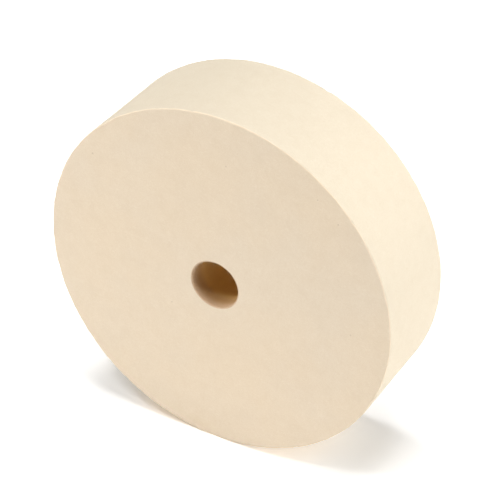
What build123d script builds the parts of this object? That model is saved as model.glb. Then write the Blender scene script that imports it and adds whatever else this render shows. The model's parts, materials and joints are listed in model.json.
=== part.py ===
from build123d import *
import os

# Hard felt polishing wheel, one pressed and turned disc of wool felt with a plain arbor bore.
#
# Millimetres. The origin is the centre of the bore, midway between the two faces. The wheel turns
# about +Y, and +Z is up, with the wheel standing on its rim.

# Driving dimensions
WHEEL_DIAMETER = 150.0
WHEEL_WIDTH = 43.5
BORE_DIAMETER = 20.5
RIM_EDGE_RADIUS = 0.5
BORE_EDGE_RADIUS = 0.4

# Sizes worked out from them
WHEEL_RADIUS = WHEEL_DIAMETER / 2
BORE_RADIUS = BORE_DIAMETER / 2
FELT_DEPTH = WHEEL_RADIUS - BORE_RADIUS

# The felt disc: half of its section, to the +X side of the axis, turned once about Y.
with BuildPart() as felt_disc:
    with BuildSketch(Plane.XY) as half_section:
        with Locations((BORE_RADIUS + FELT_DEPTH / 2, 0)):
            Rectangle(FELT_DEPTH, WHEEL_WIDTH)
        # The two corners furthest from the axis are the rim's edges, the nearest two the bore's mouths.
        fillet(half_section.vertices().group_by(Axis.X)[-1], RIM_EDGE_RADIUS)
        fillet(half_section.vertices().group_by(Axis.X)[0], BORE_EDGE_RADIUS)
    revolve(axis=Axis.Y)

felt_disc.part.label = "felt_disc"

os.makedirs("parts", exist_ok=True)
export_step(felt_disc.part, "parts/felt_disc.step")
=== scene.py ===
"""The look of a hard felt polishing wheel: one thick disc of pressed wool with a plain bore.

Metres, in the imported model's frame: the bore's axis is Y, the front face looks towards -Y, and +Z is up. The
wheel stands on its rim.
"""

import json
import math

import bpy
import numpy as np
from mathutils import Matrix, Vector, noise


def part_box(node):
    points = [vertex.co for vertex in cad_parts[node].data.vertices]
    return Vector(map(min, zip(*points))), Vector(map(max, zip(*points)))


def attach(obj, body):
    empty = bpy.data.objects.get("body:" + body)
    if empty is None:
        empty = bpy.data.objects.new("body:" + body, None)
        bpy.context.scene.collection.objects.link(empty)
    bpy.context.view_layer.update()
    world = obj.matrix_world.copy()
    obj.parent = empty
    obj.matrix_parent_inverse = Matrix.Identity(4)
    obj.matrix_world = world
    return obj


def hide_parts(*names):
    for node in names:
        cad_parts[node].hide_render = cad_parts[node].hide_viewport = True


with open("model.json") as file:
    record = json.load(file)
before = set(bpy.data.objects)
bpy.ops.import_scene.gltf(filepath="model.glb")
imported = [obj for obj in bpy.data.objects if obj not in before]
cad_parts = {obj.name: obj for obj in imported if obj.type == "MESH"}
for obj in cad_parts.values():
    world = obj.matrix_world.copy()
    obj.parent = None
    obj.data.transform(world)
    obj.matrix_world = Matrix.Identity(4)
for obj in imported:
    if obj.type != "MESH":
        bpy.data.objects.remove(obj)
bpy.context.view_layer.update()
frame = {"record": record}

MM = 0.001

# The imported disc's own sizes
disc_low, disc_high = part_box("felt_disc")
bore = next(m for m in frame["record"]["mounts"] if m["name"] == "arbor_bore")
WHEEL_RADIUS = (disc_high.x - disc_low.x) / 2
HALF_WIDTH = (disc_high.y - disc_low.y) / 2
BORE_RADIUS = bore["dims"]["r_mm"] * MM
FLOOR_HEIGHT = disc_low.z

# The felt's skin. Each corner is rounded by more or less than its softness, within limits that are shares
# of it, and the straight stretches stop a few softnesses short of the sharp corner.
SKIN_STEP = 1.0 * MM
RIM_SEGMENTS = 480
INNER_SEGMENTS = 240
INNER_RADIUS = 22 * MM
RIM_SOFTNESS = 0.5 * MM
MOUTH_SOFTNESS = 0.35 * MM
LEAST_SOFTNESS = 0.3
MOST_SOFTNESS = 2.4
CORNER_STEPS = 5
CLEAR_OF_CORNER = 2.5

# How the skin wavers: each wave's amount, and how many bumps it has to the metre. The rim's and the
# mouth's waves are shares of their softness, and the relief's are heights.
RIM_WAVES = ((0.35, 45), (0.85, 210), (0.55, 480))
MOUTH_WAVES = ((0.30, 45), (0.30, 210), (0.55, 420))
RELIEF_WAVES = ((0.100 * MM, 22), (0.040 * MM, 85), (0.012 * MM, 260))
NOISE_START = Vector((0.31, 0.12, 0.47))

# Small nicks in the rim's two edges: the side (-1 is the front), the angle up from +X, and the depth as a
# share of the rim's softness
NICKS = (
    (-1, math.radians(96.6), 1.40),
    (-1, math.radians(39.6), 1.20),
    (-1, math.radians(158.0), 0.95),
    (1, math.radians(71.0), 1.10),
    (1, math.radians(204.0), 1.30),
    (-1, math.radians(262.0), 1.00),
)
NICK_LENGTH = 1.1 * MM

# Small pits in the front face: the distance from the axis, the angle up from +X, and the pit's radius.
# Each one's floor reaches out to a share of its radius.
PITS = (
    (68.6 * MM, math.radians(141.5), 0.50 * MM),
    (55.4 * MM, math.radians(84.4), 0.40 * MM),
    (68.9 * MM, math.radians(40.8), 0.45 * MM),
    (24.6 * MM, math.radians(-142.7), 0.40 * MM),
    (58.6 * MM, math.radians(-2.0), 0.40 * MM),
)
PIT_FLOOR = 0.4

# Every loose hair: a tapering tube with its root just inside the felt and a tip some thicknesses long. Its
# sideways curl is a share of its length, its bends are counted in half waves, and it rises and sinks
# again along part of a wave.
SEED = 20
HAIR_STEPS = 7
HAIR_SIDES = 4
HAIR_TAPER = 0.6
HAIR_TIP = 2.0
ROOT_DEPTH = 0.06 * MM
MOST_CURL = 0.35
LEAST_BEND, MOST_BEND = 0.4, 1.7
RISE_WAVE = 0.75 * math.pi

# Loose wool at the bore's mouths: some on the edge and the rest on the wall behind it, most of it in one
# torn tuft. A hair heads round the mouth, with some rise off the surface and some lean out of the bore.
MOUTH_HAIRS = 420
TUFT_SHARE = 0.6
TUFT_ANGLE = math.radians(145)
TUFT_TIGHTNESS = 3.0
EDGE_SHARE = 0.4
EDGE_TILT = 0.7
MOUTH_FUZZ_DEPTH = 1.3 * MM
MOUTH_HAIR_RISE = (0.1, 1.0)
MOUTH_HAIR_LEAN = (-0.4, 0.9)
MOUTH_HAIR_LEAST = 0.20 * MM
MOUTH_HAIR_SPREAD = 0.35 * MM
MOUTH_HAIR_THICKNESS = (0.03 * MM, 0.09 * MM)
MOUTH_HAIR_LIFT = 0.2

# Loose wool along the rim's edges, in the same terms. Its roots are a share of the way out to the skin.
RIM_HAIRS = 520
RIM_ROOT = 0.9
RIM_HAIR_RISE = (0.0, 0.7)
RIM_HAIR_LEAN = (-0.5, 0.5)
RIM_HAIR_LENGTH = (0.4 * MM, 1.3 * MM)
RIM_HAIR_THICKNESS = (0.03 * MM, 0.06 * MM)
RIM_HAIR_LIFT = 0.15

# Linear colours of the wool, and what its hollows and its upper fibres multiply them by
PRESSED = (0.770, 0.632, 0.466, 1)
PRESSED_COOL = (0.760, 0.634, 0.480, 1)
# The tread's colour, darker and less saturated than the faces', is painted shade that sets the tread's shading
# under these lamps
SHADED_TREAD = (0.592, 0.513, 0.394, 1)
HOLLOW = (0.900, 0.865, 0.825, 1)
STRAND = (1.075, 1.120, 1.180, 1)
# The bore's three colours are painted shade: pale at the mouths, a darker painted shadow band, and a saturated
# deep colour that the light bouncing in the bore turns dark brown
BORE_MOUTH_SHADE = (0.600, 0.415, 0.262, 1)
BORE_SHADOW_BAND = (0.525, 0.318, 0.138, 1)
DEEP_BORE_SHADE = (0.705, 0.455, 0.165, 1)
# The straw specks' colour, also used for the painted shade in the pits
STRAW_AND_PIT_SHADE = (0.30, 0.19, 0.10, 1)

# Where one area's colour gives way to the next. The tread's begins and is full this far in from the rim,
# and fades out between these distances from the faces. The bore's is full and ends this far outside its
# wall.
RIM_MARGIN = (1.0 * MM, 0.4 * MM)
FACE_MARGIN = (0.50 * MM, 0.15 * MM)
BORE_MARGIN = (0.1 * MM, 0.6 * MM)

# How far into the bore its wall is pale, darkest in the painted shadow band, and evenly dark with painted
# shade
PALE_DEPTH = 0.3 * MM
SHADOW_BAND_DEPTH = 5.2 * MM
DARK_DEPTH = 9.5 * MM

# Matted fibres in the felt's surface: the noise that they are drawn in, the curl that bends them, and how
# near its middle that noise is on a fibre. Each layer has its own turn, and is a little fainter than the
# last.
FIBRES_PER_METRE = 2300.0
FIBRE_STRETCH = 13.0
FIBRE_CURL = 3.0 * MM
CURLS_PER_METRE = 260.0
FIBRE_WIDTH = 0.06
FIBRE_TURNS = (
    (0.0, 0.3, 0.2),
    (0.5, 0.9, 1.9),
    (0.3, 1.6, 0.5),
    (0.7, 2.3, 1.2),
    (1.1, 2.9, 2.6),
)
LAYER_FADE = 0.1

# Clouding and mottle: bumps to the metre, and the stretch of the noise that they show over
CLOUDS_PER_METRE = 26.0
CLOUDING = (0.3, 0.7)
MOTTLE_PER_METRE = 210.0
MOTTLE = (0.35, 0.75)
HOLLOW_SHARE = 0.17
RAISED_FIBRES = (0.33, 1.0)
STRAND_SHARE = 0.72

# Scattered specks: cells to the metre, the spots' radius, and the share of cells that have one
STRAW_SPECKS = (95.0, 0.32 * MM, 0.15)
SMALL_PITS = (70.0, 0.45 * MM, 0.15)
STRAW_SHARE = 0.5
# How strongly the pits are darkened: painted shade in the pits, in the straw specks' colour
PIT_SHADE_SHARE = 0.28

# The nap: how much its fibres and its mottle stand up and its pits sink, and how rough it is between the
# fibres and on them
FIBRE_RISE = 0.6
MOTTLE_RISE = 0.5
PIT_DROP = 1.6
NAP_STRENGTH = 0.65
NAP_HEIGHT = 0.12 * MM
NAP_ROUGHNESS = (0.98, 0.86)

# Loose wool's unevenness, and the dry sheen of all the wool
LOOSE_PER_METRE = 900.0
LOOSE_UNEVEN = (0.35, 0.65)
LOOSE_ROUGHNESS = (0.96, 0.85)
DRY_WOOL = {
    "Specular_IOR_Level": 0.12,
    "Sheen_Weight": 0.08,
    "Sheen_Roughness": 0.55,
    "Sheen_Tint": (1.0, 0.96, 0.90, 1),
}

# Camera: where it looks from, how far right and up it aims from the wheel's centre, and its lens and sensor
# in millimetres
VIEW_AZIMUTH = math.radians(29.9)
VIEW_ELEVATION = math.radians(34.4)
VIEW_DISTANCE = 0.7698
AIM_RIGHT = 2.68 * MM
AIM_UP = 2.79 * MM
LENS = 141.9
SENSOR = 36.0
NEAREST = 0.01
FURTHEST = 48.0

# The floor: white paper. Its glow stands for the light that the felt and the paper throw back. It is warm
# as far as WARM_FLOOR from the middle and faintest at CLEAR_FLOOR, and it brightens a little by OPEN_FLOOR.
# The lamps reach LIT_FLOOR, and from there to FAR_FLOOR a plain white glow takes over.
FLOOR_SIZE = 12.0
PAPER = (0.97, 0.97, 0.97, 1)
WHITE = (1, 1, 1, 1)
THROWN_BACK = (1.00, 0.70, 0.42, 1)
WARM_FLOOR = 0.030
CLEAR_FLOOR = 0.058
OPEN_FLOOR = 0.068
LIT_FLOOR = 0.30
FAR_FLOOR = 1.20
WARM_GLOW = 0.28
NEAR_GLOW = 0.08
OPEN_GLOW = 0.12

# Soft boxes: the name, the azimuth and elevation in degrees, the width, and the power in watts
LAMP_DISTANCE = 1.0
SOFT_BOXES = (
    ("overhead", 0, 89, 0.45, 7.7),
    ("key", -30, 63, 0.18, 3.2),
    ("right side", 91, 13, 0.34, 6.8),
    ("back right", 138, 12, 0.35, 3.1),
    ("back left", -113, 62, 0.40, 0.8),
    ("low left", -55, 12, 0.35, 4.2),
)
AMBIENT = 0.12


def make_piece(name, vertices, faces, material):
    """A smooth mesh object in the wheel's frame, with one material."""
    mesh = bpy.data.meshes.new(name)
    mesh.from_pydata(vertices, [], faces)
    mesh.shade_smooth()
    mesh.materials.append(material)
    piece = bpy.data.objects.new(name, mesh)
    bpy.context.scene.collection.objects.link(piece)
    return piece


def spoke(angle):
    """The unit direction out from the axis at an angle, which is measured up from +X."""
    return Vector((math.cos(angle), 0, math.sin(angle)))


# ---------------------------------------------------------------- the felt's skin


def flat_stations(start, end, normal):
    """Stations evenly spaced along a straight stretch of the half section."""
    start, end = np.array(start), np.array(end)
    count = max(2, round(float(np.linalg.norm(end - start)) / SKIN_STEP) + 1)
    return [(start + (end - start) * t, np.zeros(2), np.array(normal)) for t in np.linspace(0, 1, count)]


def corner_stations(corner, outward, turn_from, turn_to, softness):
    """Stations round a softened corner, each with its own swing in from the sharp corner."""
    stations = []
    for angle in np.linspace(turn_from, turn_to, CORNER_STEPS + 2):
        normal = np.array((math.cos(angle), math.sin(angle)))
        stations.append((np.array(corner), softness * (normal - np.array(outward)), normal))
    return stations


def half_section():
    """The section to one side of the axis, as (base point, swing, normal) stations in (radius, y).

    It runs out along the front face, across the tread, in along the back face and back through the bore.
    """
    rim_gap = CLEAR_OF_CORNER * RIM_SOFTNESS
    mouth_gap = CLEAR_OF_CORNER * MOUTH_SOFTNESS
    inner, outer = BORE_RADIUS + mouth_gap, WHEEL_RADIUS - rim_gap
    quarter = math.pi / 2
    return [
        *flat_stations((inner, -HALF_WIDTH), (outer, -HALF_WIDTH), (0, -1)),
        *corner_stations((WHEEL_RADIUS, -HALF_WIDTH), (1, -1), -quarter, 0, RIM_SOFTNESS),
        *flat_stations((WHEEL_RADIUS, rim_gap - HALF_WIDTH), (WHEEL_RADIUS, HALF_WIDTH - rim_gap), (1, 0)),
        *corner_stations((WHEEL_RADIUS, HALF_WIDTH), (1, 1), 0, quarter, RIM_SOFTNESS),
        *flat_stations((outer, HALF_WIDTH), (inner, HALF_WIDTH), (0, 1)),
        *corner_stations((BORE_RADIUS, HALF_WIDTH), (-1, 1), quarter, 2 * quarter, MOUTH_SOFTNESS),
        *flat_stations((BORE_RADIUS, HALF_WIDTH - mouth_gap), (BORE_RADIUS, mouth_gap - HALF_WIDTH), (-1, 0)),
        *corner_stations((BORE_RADIUS, -HALF_WIDTH), (-1, -1), 2 * quarter, 3 * quarter, MOUTH_SOFTNESS),
    ]


def wander(point, waves):
    """The sum of some waves of smooth noise at a point."""
    return sum(amount * noise.noise((point + NOISE_START) * bumps) for amount, bumps in waves)


def corner_wobble(corner, angle):
    """How much more or less than usual a corner is rounded at an angle, as a factor."""
    radius, y = corner
    point = spoke(angle) * radius + Vector((0, y, 0))
    on_rim = radius == WHEEL_RADIUS
    factor = 1 + wander(point, RIM_WAVES if on_rim else MOUTH_WAVES)
    if on_rim:
        for side, nick_angle, depth in NICKS:
            apart = math.remainder(angle - nick_angle, 2 * math.pi) * radius / NICK_LENGTH
            factor += depth * math.exp(-apart * apart) if side * y > 0 else 0
    return min(max(factor, LEAST_SOFTNESS), MOST_SOFTNESS)


def ring_of(station, segments):
    """The points of one ring of the skin."""
    base, swing, normal = station
    points = []
    for angle in np.arange(segments) * (2 * math.pi / segments):
        wobble = corner_wobble(base, angle) if swing.any() else 0
        radius, y = base + swing * wobble
        out = spoke(angle) * normal[0] + Vector((0, normal[1], 0))
        point = spoke(angle) * radius + Vector((0, y, 0))
        points.append(point + out * wander(point, RELIEF_WAVES))
    return points


def join_rings(first, first_count, second, second_count):
    """Faces between two rings, given by their first vertex and count. One may have twice as many points."""
    faces = []
    count = min(first_count, second_count)
    for i in range(count):
        j = (i + 1) % count
        if first_count == second_count:
            faces.append((first + i, second + i, second + j, first + j))
        elif first_count < second_count:
            a, middle, b = second + 2 * i, second + 2 * i + 1, second + 2 * j
            faces += [(first + i, a, middle), (first + i, middle, first + j), (first + j, middle, b)]
        else:
            a, middle, b = first + 2 * i, first + 2 * i + 1, first + 2 * j
            faces += [(second + i, middle, a), (second + i, second + j, middle), (second + j, b, middle)]
    return faces


def felt_body(material):
    """The wheel's whole skin, closed, with the pressed felt's slight unevenness in its mesh."""
    vertices, starts, counts = [], [], []
    for station in half_section():
        segments = RIM_SEGMENTS if station[0][0] > INNER_RADIUS else INNER_SEGMENTS
        starts.append(len(vertices))
        counts.append(segments)
        vertices += ring_of(station, segments)
    faces = []
    for k in range(len(starts)):
        following = (k + 1) % len(starts)
        faces += join_rings(starts[k], counts[k], starts[following], counts[following])
    return make_piece("felt_body", vertices, faces, material)


# ---------------------------------------------------------------- loose wool


def wool_hair(random, root, normal, heading, length, thickness, lift):
    """One short curled hair: a closed tube that thins to a point, with its root in the felt."""
    side = normal.cross(heading).normalized()
    curl = random.uniform(-MOST_CURL, MOST_CURL) * length
    bends = random.uniform(LEAST_BEND, MOST_BEND) * math.pi
    vertices = [root - normal * ROOT_DEPTH]
    for step in range(HAIR_STEPS):
        t = step / (HAIR_STEPS - 1)
        rise = lift * length * math.sin(RISE_WAVE * t)
        middle = root + heading * (length * t) + side * (curl * math.sin(bends * t)) + normal * rise
        radius = thickness / 2 * (1 - HAIR_TAPER * t)
        for corner in range(HAIR_SIDES):
            turn = 2 * math.pi * corner / HAIR_SIDES
            vertices.append(middle + (normal * math.sin(turn) + side * math.cos(turn)) * radius)
    vertices.append(vertices[-1] + heading * (HAIR_TIP * thickness))
    faces = []
    for corner in range(HAIR_SIDES):
        across = (corner + 1) % HAIR_SIDES
        faces.append((0, 1 + across, 1 + corner))
        for step in range(HAIR_STEPS - 1):
            low, high = 1 + step * HAIR_SIDES, 1 + (step + 1) * HAIR_SIDES
            faces.append((low + corner, low + across, high + across, high + corner))
        last = 1 + (HAIR_STEPS - 1) * HAIR_SIDES
        faces.append((last + corner, last + across, len(vertices) - 1))
    return vertices, faces


def hair_piece(name, hairs, material):
    """Many hairs as one piece."""
    vertices, faces = [], []
    for hair_vertices, hair_faces in hairs:
        first = len(vertices)
        vertices += hair_vertices
        faces += [tuple(first + v for v in face) for face in hair_faces]
    return make_piece(name, vertices, faces, material)


def mouth_hairs(random, side):
    """Hairs torn by the boring tool, on the edge of the bore's mouth and on the wall just inside it."""
    out = Vector((0, side, 0))
    for _ in range(MOUTH_HAIRS):
        in_tuft = random.random() < TUFT_SHARE
        angle = random.vonmises(TUFT_ANGLE, TUFT_TIGHTNESS) if in_tuft else random.uniform(0, 2 * math.pi)
        inward = -spoke(angle)
        on_edge = random.random() < EDGE_SHARE
        tilt = random.uniform(EDGE_TILT, math.pi / 2) if on_edge else math.pi / 2
        depth = 0 if on_edge else random.exponential(MOUTH_FUZZ_DEPTH)
        normal = out * math.cos(tilt) + inward * math.sin(tilt)
        middle = spoke(angle) * (BORE_RADIUS + MOUTH_SOFTNESS) + out * (HALF_WIDTH - MOUTH_SOFTNESS - depth)
        root = middle + normal * MOUTH_SOFTNESS
        around = out.cross(inward) * random.choice((-1, 1))
        rise = normal * random.uniform(*MOUTH_HAIR_RISE)
        lean = out * random.uniform(*MOUTH_HAIR_LEAN)
        heading = (around + rise + lean).normalized()
        length = MOUTH_HAIR_LEAST + random.exponential(MOUTH_HAIR_SPREAD)
        thickness = random.uniform(*MOUTH_HAIR_THICKNESS)
        yield wool_hair(random, root, normal, heading, length, thickness, MOUTH_HAIR_LIFT)


def rim_hairs(random, side):
    """Fine fuzz along one edge of the rim."""
    out = Vector((0, side, 0))
    for _ in range(RIM_HAIRS):
        angle = random.uniform(0, 2 * math.pi)
        tilt = random.uniform(0, math.pi / 2)
        normal = spoke(angle) * math.cos(tilt) + out * math.sin(tilt)
        centre = spoke(angle) * (WHEEL_RADIUS - RIM_SOFTNESS) + out * (HALF_WIDTH - RIM_SOFTNESS)
        root = centre + normal * RIM_SOFTNESS * RIM_ROOT
        along = spoke(angle + math.pi / 2) * random.choice((-1, 1))
        rise = normal * random.uniform(*RIM_HAIR_RISE)
        lean = out * random.uniform(*RIM_HAIR_LEAN)
        heading = (along + rise + lean).normalized()
        length = random.uniform(*RIM_HAIR_LENGTH)
        thickness = random.uniform(*RIM_HAIR_THICKNESS)
        yield wool_hair(random, root, normal, heading, length, thickness, RIM_HAIR_LIFT)


# ---------------------------------------------------------------- materials


class Nodes:
    """Short calls for building one material's node tree."""

    def __init__(self, name):
        self.material = bpy.data.materials.new(name)
        self.material.use_nodes = True
        self.tree = self.material.node_tree
        self.shader = self.tree.nodes["Principled BSDF"]
        self.place = self.tree.nodes.new("ShaderNodeTexCoord").outputs["Object"]

    def add(self, kind, inputs=(), **settings):
        """A node with its settings, and its inputs linked or filled in by name or number."""
        node = self.tree.nodes.new(kind)
        for key, value in settings.items():
            setattr(node, key, value)
        for key, value in dict(inputs).items():
            if isinstance(value, bpy.types.NodeSocket):
                self.tree.links.new(value, node.inputs[key])
            else:
                node.inputs[key].default_value = value
        return node

    def feed(self, **inputs):
        """Links or fills in the shader's inputs, whose names are given with _ for each space."""
        for name, value in inputs.items():
            socket = self.shader.inputs[name.replace("_", " ")]
            if isinstance(value, bpy.types.NodeSocket):
                self.tree.links.new(value, socket)
            else:
                socket.default_value = value

    def math(self, operation, *values):
        """One arithmetic step on sockets or numbers."""
        return self.add("ShaderNodeMath", dict(enumerate(values)), operation=operation).outputs[0]

    def cloud(self, scale, detail=2.0, place=None):
        """Soft noise, from 0 to 1, at so many bumps to the metre."""
        inputs = {"Vector": place or self.place, "Scale": scale, "Detail": detail}
        return self.add("ShaderNodeTexNoise", inputs).outputs[0]

    def between(self, value, low, high, to_low=0.0, to_high=1.0):
        """A value moved smoothly from one range to another, and held at its ends."""
        inputs = {0: value, 1: low, 2: high, 3: to_low, 4: to_high}
        return self.add("ShaderNodeMapRange", inputs, interpolation_type="SMOOTHSTEP").outputs[0]

    def blend(self, share, first, second):
        """Colour that goes from the first to the second as the share goes from 0 to 1."""
        inputs = {"Factor": share, 6: first, 7: second}
        return self.add("ShaderNodeMix", inputs, data_type="RGBA").outputs[2]

    def tint(self, share, colour, factors):
        """Colour multiplied by the factors as far as the share says."""
        inputs = {"Factor": share, 6: colour, 7: factors}
        return self.add("ShaderNodeMix", inputs, data_type="RGBA", blend_type="MULTIPLY").outputs[2]

    def distance(self, axes):
        """The distance from the middle of the wheel, counting only the axes marked with 1."""
        kept = self.add("ShaderNodeVectorMath", {0: self.place, 1: axes}, operation="MULTIPLY").outputs[0]
        return self.add("ShaderNodeVectorMath", {0: kept}, operation="LENGTH").outputs["Value"]

    def specks(self, scale, radius, chosen):
        """1 on small scattered spots and 0 elsewhere.

        Scale is the cells to the metre, radius is a spot's, and chosen is the share of cells that have one.
        """
        cells = self.add("ShaderNodeTexVoronoi", {"Vector": self.place, "Scale": scale, "Randomness": 1.0})
        near = self.between(cells.outputs["Distance"], 0.5 * radius * scale, radius * scale, 1.0, 0.0)
        pick = self.add("ShaderNodeSeparateColor", {0: cells.outputs["Color"]}).outputs[0]
        return self.math("MULTIPLY", near, self.math("LESS_THAN", pick, chosen))


def matted_fibres(nodes):
    """Fine curled fibres, matted in every direction: 1 on a fibre and 0 between them.

    Each layer is noise drawn out one way. Its fibres are the thin lines where that noise crosses its middle.
    """
    bend = nodes.add(
        "ShaderNodeTexNoise", {"Vector": nodes.place, "Scale": CURLS_PER_METRE, "Detail": 2.0}
    ).outputs["Color"]
    curled = nodes.add(
        "ShaderNodeVectorMath", {0: bend, 1: (FIBRE_CURL,) * 3, 2: nodes.place}, operation="MULTIPLY_ADD"
    ).outputs[0]
    matted = None
    for layer, turn in enumerate(FIBRE_TURNS):
        drawn_out = nodes.add(
            "ShaderNodeMapping",
            {"Vector": curled, "Location": (layer, 0, 0), "Rotation": turn, "Scale": (FIBRE_STRETCH, 1, 1)},
            vector_type="TEXTURE",
        ).outputs[0]
        wave = nodes.cloud(FIBRES_PER_METRE, 1.0, drawn_out)
        off_middle = nodes.math("ABSOLUTE", nodes.math("SUBTRACT", wave, 0.5))
        strand = nodes.between(off_middle, 0.0, FIBRE_WIDTH, 1.0 - LAYER_FADE * layer, 0.0)
        matted = strand if matted is None else nodes.math("MAXIMUM", matted, strand)
    return matted


def face_pits(nodes):
    """1 in each small pit of the front face, and 0 elsewhere."""
    marks = None
    for from_axis, angle, radius in PITS:
        middle = spoke(angle) * from_axis + Vector((0, -HALF_WIDTH, 0))
        gap = nodes.add("ShaderNodeVectorMath", {0: nodes.place, 1: middle}, operation="DISTANCE")
        pit = nodes.between(gap.outputs["Value"], PIT_FLOOR * radius, radius, 1.0, 0.0)
        marks = pit if marks is None else nodes.math("ADD", marks, pit)
    return marks


def bore_wall_shade(nodes):
    """The painted shade on the bore's wall, which darkens from its mouths inwards, by way of a darker painted
    shadow band.
    """
    from_middle = nodes.distance((0, 1, 0))
    band = nodes.between(from_middle, HALF_WIDTH - SHADOW_BAND_DEPTH, HALF_WIDTH - PALE_DEPTH, 1.0, 0.0)
    dark = nodes.between(from_middle, HALF_WIDTH - DARK_DEPTH, HALF_WIDTH - SHADOW_BAND_DEPTH, 1.0, 0.0)
    return nodes.blend(dark, nodes.blend(band, BORE_MOUTH_SHADE, BORE_SHADOW_BAND), DEEP_BORE_SHADE)


def tread_area(nodes):
    """1 on the tread, where its painted shade goes, and 0 elsewhere, on the rim's rounded edges too."""
    near_rim, at_rim = (WHEEL_RADIUS - margin for margin in RIM_MARGIN)
    off_faces, at_faces = (HALF_WIDTH - margin for margin in FACE_MARGIN)
    in_radius = nodes.between(nodes.distance((1, 0, 1)), near_rim, at_rim)
    in_width = nodes.between(nodes.distance((0, 1, 0)), off_faces, at_faces, 1.0, 0.0)
    return nodes.math("MULTIPLY", in_radius, in_width)


def bore_area(nodes):
    """1 on the bore's wall, and 0 elsewhere."""
    at_wall, off_wall = (BORE_RADIUS + margin for margin in BORE_MARGIN)
    return nodes.between(nodes.distance((1, 0, 1)), at_wall, off_wall, 1.0, 0.0)


def nap(nodes, fibres, mottle, pits):
    """The bump of the felt's dry nap: raised fibres and mottle, and sunken pits."""
    raised = nodes.math(
        "ADD", nodes.math("MULTIPLY", fibres, FIBRE_RISE), nodes.math("MULTIPLY", mottle, MOTTLE_RISE)
    )
    height = nodes.math("SUBTRACT", raised, nodes.math("MULTIPLY", pits, PIT_DROP))
    inputs = {"Height": height, "Strength": NAP_STRENGTH, "Distance": NAP_HEIGHT}
    return nodes.add("ShaderNodeBump", inputs).outputs[0]


def wool_felt():
    """Undyed hard pressed wool: warm cream, clouded and mottled, with matted fibres and a matte nap."""
    nodes = Nodes("wool felt")
    fibres = matted_fibres(nodes)
    mottle = nodes.cloud(MOTTLE_PER_METRE, 3.0)
    clouding = nodes.between(nodes.cloud(CLOUDS_PER_METRE), *CLOUDING)
    straw = nodes.specks(*STRAW_SPECKS)
    pits = nodes.math("ADD", nodes.specks(*SMALL_PITS), face_pits(nodes))

    colour = nodes.blend(clouding, PRESSED, PRESSED_COOL)
    # The tread takes its darker colour as painted shade
    colour = nodes.blend(tread_area(nodes), colour, SHADED_TREAD)
    # The bore's wall takes painted shade that deepens inwards
    colour = nodes.blend(bore_area(nodes), colour, bore_wall_shade(nodes))
    colour = nodes.tint(nodes.between(mottle, *MOTTLE, 0.0, HOLLOW_SHARE), colour, HOLLOW)
    colour = nodes.tint(nodes.between(fibres, *RAISED_FIBRES, 0.0, STRAND_SHARE), colour, STRAND)
    colour = nodes.blend(nodes.math("MULTIPLY", straw, STRAW_SHARE), colour, STRAW_AND_PIT_SHADE)
    # The pits are darkened as painted shade
    colour = nodes.blend(nodes.math("MULTIPLY", pits, PIT_SHADE_SHARE), colour, STRAW_AND_PIT_SHADE)
    nodes.feed(
        Base_Color=colour,
        Roughness=nodes.between(fibres, 0.0, 1.0, *NAP_ROUGHNESS),
        Normal=nap(nodes, fibres, mottle, pits),
        **DRY_WOOL,
    )
    return nodes.material


def loose_wool():
    """Hairs pulled up out of the felt, which are as pale in the dark bore as they are on the rim."""
    nodes = Nodes("loose wool")
    uneven = nodes.between(nodes.cloud(LOOSE_PER_METRE), *LOOSE_UNEVEN)
    nodes.feed(
        Base_Color=nodes.blend(uneven, SHADED_TREAD, PRESSED_COOL),
        Roughness=nodes.between(uneven, 0.0, 1.0, *LOOSE_ROUGHNESS),
        **DRY_WOOL,
    )
    return nodes.material


def pale_floor_material():
    """Plain matte white paper. Its glow is warm under the wheel and white further out, and lights nothing."""
    nodes = Nodes("pale floor")
    seen = nodes.add("ShaderNodeLightPath").outputs["Is Camera Ray"]
    from_middle = nodes.distance((1, 1, 0))
    tone = nodes.blend(nodes.between(from_middle, WARM_FLOOR, CLEAR_FLOOR), THROWN_BACK, WHITE)
    near = nodes.between(from_middle, WARM_FLOOR, CLEAR_FLOOR, WARM_GLOW, NEAR_GLOW)
    clear = nodes.between(from_middle, CLEAR_FLOOR, OPEN_FLOOR, 0.0, OPEN_GLOW)
    far = nodes.between(from_middle, LIT_FLOOR, FAR_FLOOR, 0.0, 1.0 - NEAR_GLOW - OPEN_GLOW)
    glow = nodes.math("ADD", nodes.math("ADD", near, clear), far)
    nodes.feed(
        Base_Color=PAPER,
        Roughness=1.0,
        Specular_IOR_Level=0.0,
        Emission_Color=tone,
        Emission_Strength=nodes.math("MULTIPLY", glow, seen),
    )
    return nodes.material


# ---------------------------------------------------------------- studio


def studio_floor():
    """A plain pale floor that touches the lowest point of the rim."""
    half = FLOOR_SIZE / 2
    corners = [(x * half, y * half, FLOOR_HEIGHT) for x, y in ((-1, -1), (1, -1), (1, 1), (-1, 1))]
    floor = make_piece("floor", corners, [(0, 1, 2, 3)], pale_floor_material())


def direction(azimuth, elevation):
    """The way from the wheel towards a viewer or a lamp. Azimuth 0 is in front, and 90 to the right."""
    return Vector((
        math.sin(azimuth) * math.cos(elevation),
        -math.cos(azimuth) * math.cos(elevation),
        math.sin(elevation),
    ))


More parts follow.
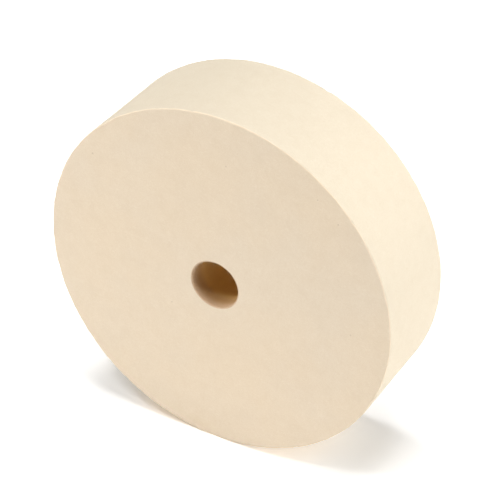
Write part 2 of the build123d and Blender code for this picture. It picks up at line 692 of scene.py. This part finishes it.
def soft_box(name, azimuth, elevation, size, power):
    """A square soft light aimed at the wheel's centre."""
    lamp = bpy.data.lights.new(name, "AREA")
    lamp.size = size
    lamp.energy = power
    box = bpy.data.objects.new(name, lamp)
    towards = direction(math.radians(azimuth), math.radians(elevation))
    box.location = towards * LAMP_DISTANCE
    box.rotation_euler = towards.to_track_quat("Z", "Y").to_euler()
    bpy.context.scene.collection.objects.link(box)


def studio_light():
    """Soft boxes above and around the wheel, in a faint ambient light with a white backdrop."""
    for lamp in SOFT_BOXES:
        soft_box(*lamp)
    world = bpy.data.worlds.new("white surround")
    world.use_nodes = True
    tree = world.node_tree
    backdrop = tree.nodes.new("ShaderNodeMapRange")
    backdrop.inputs["To Min"].default_value = AMBIENT
    backdrop.inputs["To Max"].default_value = 1.0
    seen = tree.nodes.new("ShaderNodeLightPath").outputs["Is Camera Ray"]
    tree.links.new(seen, backdrop.inputs["Value"])
    tree.nodes["Background"].inputs["Color"].default_value = WHITE
    tree.links.new(backdrop.outputs[0], tree.nodes["Background"].inputs["Strength"])
    bpy.context.scene.world = world


def camera():
    """A long lens a little above the wheel and to its right."""
    data = bpy.data.cameras.new("camera")
    data.sensor_width = SENSOR
    data.lens = LENS
    data.clip_start = NEAREST
    data.clip_end = FURTHEST
    eye = bpy.data.objects.new("camera", data)
    towards = direction(VIEW_AZIMUTH, VIEW_ELEVATION)
    turn = towards.to_track_quat("Z", "Y")
    eye.location = towards * VIEW_DISTANCE + turn @ Vector((AIM_RIGHT, AIM_UP, 0))
    eye.rotation_euler = turn.to_euler()
    bpy.context.scene.collection.objects.link(eye)
    bpy.context.scene.camera = eye


camera()
studio_floor()
studio_light()
bpy.context.scene.view_settings.view_transform = "Standard"

felt, wool = wool_felt(), loose_wool()
body = felt_body(felt)
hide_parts("felt_disc")

random = np.random.default_rng(SEED)
pieces = [
    body,
    hair_piece("front_mouth_fuzz", mouth_hairs(random, -1), wool),
    hair_piece("back_mouth_fuzz", mouth_hairs(random, 1), wool),
    hair_piece("front_rim_fuzz", rim_hairs(random, -1), wool),
    hair_piece("back_rim_fuzz", rim_hairs(random, 1), wool),
]
for piece in pieces:
    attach(piece, "root")
